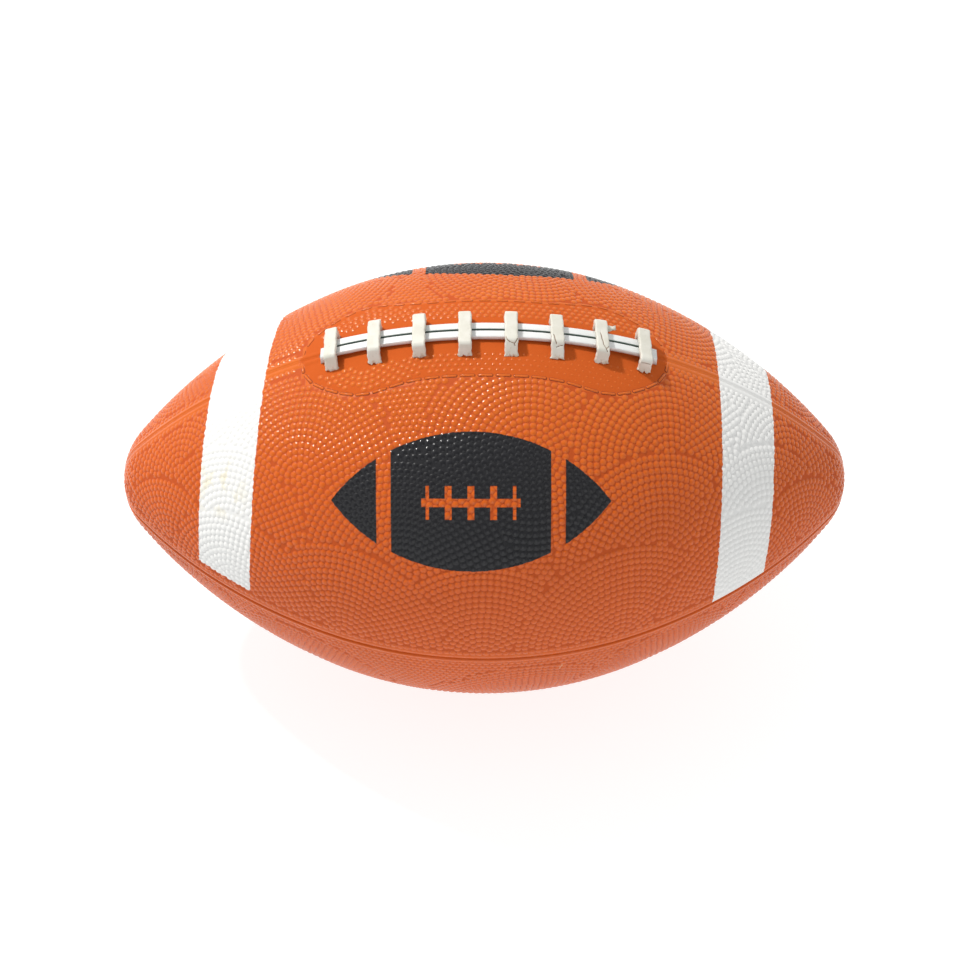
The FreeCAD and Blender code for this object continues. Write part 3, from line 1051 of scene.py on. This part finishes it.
# %% A bent line
def bent_line(corners, radius, spacing, bend_points=9):
    """Points along a line with rounded inner corners, evenly spaced on its straight runs."""
    corners = [np.array(corner, float) for corner in corners]
    points = []
    last = corners[0]
    for before, corner, after in zip(corners, corners[1:], corners[2:]):
        coming = (corner - before) / np.linalg.norm(corner - before)
        going = (after - corner) / np.linalg.norm(after - corner)
        half = math.acos(np.clip(coming @ going, -1, 1)) / 2
        back = radius * math.tan(half)
        enter, leave = corner - coming * back, corner + going * back
        inward = going - coming
        centre = corner + inward / np.linalg.norm(inward) * radius / math.cos(half)
        points.append(np.linspace(last, enter, spacing, endpoint=False))
        for t in np.linspace(0.0, 1.0, bend_points, endpoint=False):
            spoke = (enter - centre) * (math.sin((1 - t) * 2 * half) / math.sin(2 * half))
            spoke = spoke + (leave - centre) * (math.sin(t * 2 * half) / math.sin(2 * half))
            points.append((centre + spoke)[None])
        last = leave
    points.append(np.linspace(last, corners[-1], spacing))
    return np.concatenate(points)


# %% Crossbar mesh
CRACKS = {
    4: [((-2.3, 4.6), (-1.7, 6.6), (-0.6, 7.4), (1.0, 7.9), (2.3, 5.7)), ((0.9, 7.9), (1.4, 8.8))],
    5: [((-1.6, 3.0), (-1.1, 5.4), (-0.5, 7.0)), ((-0.4, 8.2), (0.6, 7.7), (2.3, 7.2))],
    6: [((-0.6, -0.6), (-0.4, 2.0), (0.3, 5.0), (1.4, 7.8)), ((1.4, 6.4), (2.3, 5.2))],
    7: [((-1.8, 9.2), (-0.4, 9.0), (1.5, 9.1))],
}
TILTS = {5: 1.0, 6: 1.6, 7: 1.0}
FLAPPED = 6


def near_cracks(number, across, reach):
    """1 on a crack of this crossbar and 0 away from it, at millimetre places on its face."""
    place = np.stack([across, reach], -1)
    depth = np.zeros(len(place))
    for line in CRACKS.get(number, []):
        for start, end in zip(np.array(line), np.array(line)[1:]):
            run = end - start
            t = np.clip((place - start) @ run / (run @ run), 0, 1)
            away = np.linalg.norm(place - start - t[:, None] * run, axis=1)
            depth = np.maximum(depth, np.clip(1.0 - away / 0.34, 0, 1))
    return depth


def crossbar_section():
    """Offsets (across in mm, share of the thickness) round a rounded strip, outer face first."""
    half, rounding, thick = CROSSBAR_WIDTH / MM / 2, 0.6, CROSSBAR_THICKNESS / MM
    face = [(x, 0.05 * (x / half) ** 2) for x in np.linspace(-(half - rounding), half - rounding, 21)]
    bend = [(math.sin(angle), math.cos(angle)) for angle in (0.5, 1.05)]
    edge = [(half - rounding + rounding * sine, rounding - rounding * cosine) for sine, cosine in bend]
    edge += [(half, depth) for depth in (0.75, 1.4, 2.0)] + [(half - 0.35, thick)]
    under = [(x, thick) for x in (1.0, 0.0, -1.0)]
    ring = face + edge + under + [(-x, depth) for x, depth in edge[::-1]]
    return np.array(ring), len(face)


def leg(shoulder, foot, lift, thick):
    """Outer and inner end, inner corner and direction of a leg that slopes down from a shoulder."""
    side = math.copysign(1.0, shoulder)
    lean = np.array([foot - shoulder, -0.7 - lift])
    lean /= np.linalg.norm(lean)
    outward = np.array([-lean[1], lean[0]]) * side
    end = np.array([shoulder, lift]) + lean * (lift + 1.1) / -lean[1]
    bend = math.acos(np.clip(outward[1], -1, 1)) / 2
    corner = np.array([shoulder - side * thick * math.tan(bend), lift - thick])
    return (end, end - outward * thick), corner, lean


def crossbar_mesh(number):
    """Points and faces of a crossbar, and how cracked and how stained each point is."""
    origin, tangent, front, up, lift, skew = crossbar_frame(number)
    lift, thick = lift / MM, CROSSBAR_THICKNESS / MM
    back, forward = -CROSSBAR_BACKS[number], CROSSBAR_FRONTS[number]
    back_end, back_corner, _ = leg(back, BACK_FOOT, lift, thick)
    front_end, front_corner, lean = leg(forward, CROSSBAR_FEET[number], lift, thick)
    outer = bent_line([back_end[0], (back, lift), (forward, lift), front_end[0]], OUTER_BEND, 18)
    inner = bent_line([back_end[1], back_corner, front_corner, front_end[1]], INNER_BEND, 18)
    run = np.concatenate([[0.0], np.cumsum(np.linalg.norm(np.diff(outer, axis=0), axis=1))])
    run -= run[-1] / 2
    order = np.random.default_rng(40 + number)
    section, face_count = crossbar_section()
    knots = np.linspace(-2.4, 2.4, 9)
    cut = np.interp(section[:, 0], knots, order.uniform(0.0, 1.0, 9) ** 2 * 1.5)
    lip = order.uniform(0.1, 0.55, 2)
    vertices, cracks, stains = [], [], []
    for place, (high, low) in enumerate(zip(outer, inner)):
        share = section[:, 1] / thick
        points = high[None] * (1 - share[:, None]) + low[None] * share[:, None]
        across = section[:, 0].copy()
        reach = run[place]
        outer_face = share < 0.5
        near_end = np.clip((reach - run[-1] + 3.2) / 3.2, 0, 1)
        shift = cut * near_end * outer_face
        points = points - lean[None] * shift[:, None]
        flare = np.clip((reach - run[-1] + 1.3) / 1.3, 0, 1) ** 2
        across += flare * np.where(across > 1.7, lip[0], 0) - flare * np.where(across < -1.7, lip[1], 0)
        wobble = 0.10 * math.sin(reach * 0.9 + number * 2.1) + 0.05 * math.sin(reach * 2.3 + number)
        across += wobble
        dent = near_cracks(number, section[:, 0], np.full(len(section), reach)) * (share < 0.1)
        points = points - np.array([0.0, 1.0]) * dent[:, None] * 0.3
        tilt = math.radians(TILTS.get(number, 0.0))
        front_way = points[:, 0] * math.cos(tilt) - across * math.sin(tilt)
        along_way = across * math.cos(tilt) + points[:, 0] * math.sin(tilt)
        height = points[:, 1] - across * skew
        steps = (along_way[:, None] * tangent, front_way[:, None] * front, height[:, None] * up)
        vertices.append(origin + sum(steps) * MM)
        cracks.append(dent)
        stains.append(np.clip(1 - (run[-1] - reach - shift) / 1.6, 0, 1) * outer_face)
    faces = [face[::-1] for face in closed_faces(len(outer), len(section))]
    return np.concatenate(vertices), faces, np.concatenate(cracks), np.concatenate(stains)


# %% A torn flap
def torn_flap(number):
    """A scrap of rubber still hanging beside a crossbar's back leg."""
    origin, tangent, front, up, _, _ = crossbar_frame(number)
    stations = [(1.7, -5.3, 2.4, 1.6), (3.3, -5.5, 2.2, 1.4), (4.5, -5.9, 2.1, 0.8), (5.6, -6.0, 2.4, 1.05)]
    vertices = []
    for along, forward, height, half in stations:
        for across, drop in ((half, 0.0), (half * 0.8, -0.7), (-half * 0.8, -0.7), (-half, 0.0)):
            place = along * tangent + (forward + across) * front + (height + drop) * up
            vertices.append(origin + place * MM)
    faces = [(0, 1, 2, 3), (15, 14, 13, 12)]
    for row in range(0, 12, 4):
        for k in range(4):
            after = (k + 1) % 4
            faces.append((row + k, row + k + 4, row + after + 4, row + after))
    return np.array(vertices), faces


# %% Lacing finishes
def crossbar_rubber():
    """Cream rubber, dull and with some dirt, brown in cracks and along torn edges."""
    finish = Finish("lace_crossbar_rubber", IOR=1.4)
    cloud = finish.noise(5.0, 4.0)
    speck = finish.noise(0.9, 2.0).ramp(0.66, 0.74)
    crack = finish.attribute("crack").ramp(0.25, 0.8)
    stain = finish.attribute("stain") * finish.noise(1.2, 2.0).ramp(0.45, 0.65)
    cream = finish.mix(cloud.ramp(0.3, 0.7), (0.68, 0.665, 0.60), (0.61, 0.595, 0.52))
    cream = finish.mix(speck * 0.5, cream, (0.46, 0.42, 0.34))
    cream = finish.mix(stain * 0.55, cream, (0.42, 0.26, 0.12))
    finish.set(Base_Color=finish.mix(crack, cream, (0.16, 0.075, 0.03)))
    finish.set(Roughness=cloud * 0.15 + 0.48)
    finish.bump(finish.noise(0.7, 3.0) * 0.5 + cloud * 0.5, 0.12)
    return finish


def rail_rubber():
    """Whiter, cleaner rubber with faint lines along it from drawing through the mould, and dark painted
    shade on the inner sides at the gap.
    """
    finish = Finish("lace_rail_rubber", IOR=1.45)
    x, y, _ = finish.axes()
    cloud = finish.noise(9.0, 3.0)
    drawn = (y * 9.0 + cloud * 2.0).math("SINE")
    white = finish.mix(cloud.ramp(0.3, 0.7), (0.75, 0.76, 0.755), (0.69, 0.705, 0.70))
    # Inner sides of the rails next to the gap: dark green-grey painted shade.
    rail_gap_shade = y.size().ramp(0.52, 0.40) * (x.size() - 57.5).ramp(0.3, -0.3)
    finish.set(Base_Color=finish.mix(rail_gap_shade, white, (0.17, 0.235, 0.205)))
    finish.set(Roughness=cloud * 0.12 + 0.34)
    finish.bump(drawn * 0.25 + finish.noise(1.1, 2.0), 0.03)
    return finish


crossbar_finish = crossbar_rubber()
rail_finish = rail_rubber()

# %% Eight crossbars
def make_crossbar(number):
    vertices, faces, cracks, stains = crossbar_mesh(number)
    if number == FLAPPED:
        more, more_faces = torn_flap(number)
        faces += [tuple(k + len(vertices) for k in face) for face in more_faces]
        vertices = np.concatenate([vertices, more])
        cracks = np.concatenate([cracks, np.zeros(len(more))])
        stains = np.concatenate([stains, np.full(len(more), 0.4)])
    piece = new_object("crossbar_%d" % (number + 1), vertices, faces, crossbar_finish.material)
    store(piece, "crack", cracks)
    store(piece, "stain", stains)
    hand_over(piece, "lace_crossbar_%d" % (number + 1))


for number in range(CROSSBAR_COUNT):
    make_crossbar(number)

# %% [markdown]
# ## The rails
#
# Each rail is one section drawn along an arc, and that is what Curve to Mesh does: a path, a
# profile and caps on the ends.  Both ends of the front rail stick out past the end crossbars
# as short blocks that reach down to the cover.  The finish turns dark green-grey on the inner
# sides of the rails, and so does the cover under them: painted shade in the gap between the rails.

# %% Rails
def rail_tree():
    """Carries a profile along a path and closes the ends."""
    tree = Tree("draw_rail")
    profile = tree.input("Profile", "Object")
    material = tree.input("Material", "Material")
    path = tree.node("GeometryNodeMeshToCurve", {}, {"Mesh": tree.entry["Geometry"]})["Curve"]
    path = tree.node("GeometryNodeSetCurveNormal", {"mode": "Z_UP"}, {"Curve": path})["Curve"]
    drawing = tree.node("GeometryNodeObjectInfo", {}, {"Object": profile})["Geometry"]
    outline = tree.node("GeometryNodeMeshToCurve", {}, {"Mesh": drawing})["Curve"]
    values = {"Curve": path, "Profile Curve": outline, "Fill Caps": True}
    swept = tree.node("GeometryNodeCurveToMesh", {}, values)["Mesh"]
    tree.finish(swept, material)
    return tree


def line_object(name, points, closed):
    count = len(points)
    edges = [(k, (k + 1) % count) for k in range(count if closed else count - 1)]
    mesh = bpy.data.meshes.new(name)
    mesh.from_pydata([tuple(point) for point in points], edges, [])
    piece = bpy.data.objects.new(name, mesh)
    bpy.context.scene.collection.objects.link(piece)
    return piece


def rail_profile(width, depth):
    """A bar hanging below 0 with its upper edges rounded; the sweep turns it upside down."""
    half, rounding = width / 2, 0.45 * MM
    points = []
    for angle in np.linspace(0.0, QUARTER, 6):
        points.append((half - rounding * (1 - math.sin(angle)), rounding * (1 - math.cos(angle))))
    points += [(half, depth), (-half, depth)]
    for angle in np.linspace(QUARTER, 0.0, 6):
        points.append((-half + rounding * (1 - math.sin(angle)), rounding * (1 - math.cos(angle))))
    return [(x, y, 0.0) for x, y in points]


def rail_stub(inner, outer):
    """A block on the front rail's end that reaches down to the cover, from one x to another."""
    vertices = []
    for x in (inner, outer):
        top = lacing_middle[2] + math.sqrt(RAIL_RADIUS ** 2 - x * x)
        foot = belly_middle[2] + math.sqrt(BELLY_RADIUS ** 2 - x * x) - PEBBLE_HEIGHT
        for y, share in ((-3.5, 0.0), (-3.8, 0.1), (-3.8, 1.0), (0.9, 1.0), (0.9, 0.1), (0.6, 0.0)):
            vertices.append((x, y * MM, top + (foot - top) * share))
    faces = [(k, (k + 1) % 6, (k + 1) % 6 + 6, k + 6) for k in range(6)]
    faces += [tuple(range(6))[::-1], tuple(range(6, 12))]
    if outer < inner:
        faces = [face[::-1] for face in faces]
    stub = new_object("rail_stub", vertices, faces)
    mesh = stub.data
    bpy.data.objects.remove(stub)
    return mesh


draw_rail = rail_tree()
RAIL_DEPTH = 1.55 * MM
STUB_LENGTH = 3 * MM
RAIL_RADIUS = LACING_RADIUS - CROSSBAR_THICKNESS - RAIL_CLEARANCE


def make_rail(node, stubs):
    """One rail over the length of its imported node, with or without blocks on its ends."""
    low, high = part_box(node)
    middle = (low[1] + high[1]) / 2
    width = high[1] - low[1]
    start = math.asin((low[0] + 0.9 * MM) / RAIL_RADIUS)
    end = math.asin((high[0] - 0.05 * MM) / RAIL_RADIUS)
    angle = np.linspace(start, end, 90)
    path = np.stack([
        RAIL_RADIUS * np.sin(angle),
        np.full(len(angle), middle),
        lacing_middle[2] + RAIL_RADIUS * np.cos(angle),
    ], -1)
    profile = line_object("rail_profile", rail_profile(width, RAIL_DEPTH), True)
    line = line_object("rail_path", path, False)
    mesh = draw_rail.run(line, {"Profile": profile, "Material": rail_finish.material})
    bpy.data.objects.remove(profile)
    bpy.data.objects.remove(line)
    meshes = [mesh]
    if stubs:
        for end, inward in ((path[0][0], STUB_LENGTH), (path[-1][0], -STUB_LENGTH)):
            meshes.append(rail_stub(end + inward, end))
    piece = joined(node.replace("lace_", ""), meshes, rail_finish.material)
    hand_over(piece, node)


make_rail("lace_rail_front", True)
make_rail("lace_rail_back", False)

# %% [markdown]
# ## What lies underneath
#
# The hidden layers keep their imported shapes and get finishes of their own.  The winding shows
# thread laid both ways and the strip under the lacing a canvas weave, each from sine waves.
# The carcass, the bladder and the valve are plain rubber of different colours.

# %% Hidden finishes
def dress(node, finish):
    """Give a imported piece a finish."""
    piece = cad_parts[node]
    if not piece.material_slots:
        piece.data.materials.append(finish.material)
    for place in piece.material_slots:
        place.material = finish.material


def plain_rubber(name, dark, light, rough):
    """A moulded rubber with cloudy colour and a fine skin."""
    finish = Finish(name, IOR=1.5)
    cloud = finish.noise(14.0, 4.0)
    finish.set(Base_Color=finish.mix(cloud.ramp(0.3, 0.7), dark, light))
    finish.set(Roughness=cloud * 0.2 + rough)
    finish.bump(finish.noise(0.8, 3.0), 0.06)
    return finish


def wound_thread():
    """Nylon thread wound both ways round the ball, drawn as two sets of slanted lines."""
    finish = Finish("nylon_thread", IOR=1.5)
    x, y, z = finish.axes()
    turn = (y * -1.0).math("ARCTAN2", z)
    one_way = ((x + turn * 24.0) * 4.2).math("SINE")
    other_way = ((x - turn * 24.0) * 4.2).math("SINE")
    thread = one_way.either(other_way) * 0.5 + 0.5
    finish.set(Base_Color=finish.mix(thread, (0.42, 0.40, 0.33), (0.76, 0.74, 0.67)))
    finish.set(Roughness=finish.noise(5.0) * 0.2 + 0.4)
    finish.bump(thread, 0.25)
    return finish


def woven_canvas():
    """Cotton canvas with a plain weave of about one thread to the millimetre."""
    finish = Finish("backing_canvas", IOR=1.5)
    x, y, _ = finish.axes()
    weave = (x * 6.3).math("SINE") * (y * 6.3).math("SINE") * 0.5 + 0.5
    finish.set(Base_Color=finish.mix(weave, (0.44, 0.40, 0.31), (0.66, 0.61, 0.50)))
    finish.set(Roughness=finish.noise(4.0) * 0.15 + 0.75)
    finish.bump(weave, 0.15)
    return finish


dress("carcass", plain_rubber("carcass_rubber", (0.030, 0.028, 0.026), (0.055, 0.050, 0.046), 0.55))
dress("nylon_winding", wound_thread())
dress("bladder", plain_rubber("bladder_butyl", (0.012, 0.012, 0.013), (0.025, 0.025, 0.027), 0.35))
dress("lace_backing", woven_canvas())
valve_finish = plain_rubber("valve_rubber", (0.020, 0.020, 0.021), (0.040, 0.040, 0.042), 0.42)
dress("valve_housing", valve_finish)
dress("valve_patch", valve_finish)
dress("valve_core", plain_rubber("valve_core_rubber", (0.30, 0.21, 0.10), (0.38, 0.28, 0.15), 0.5))
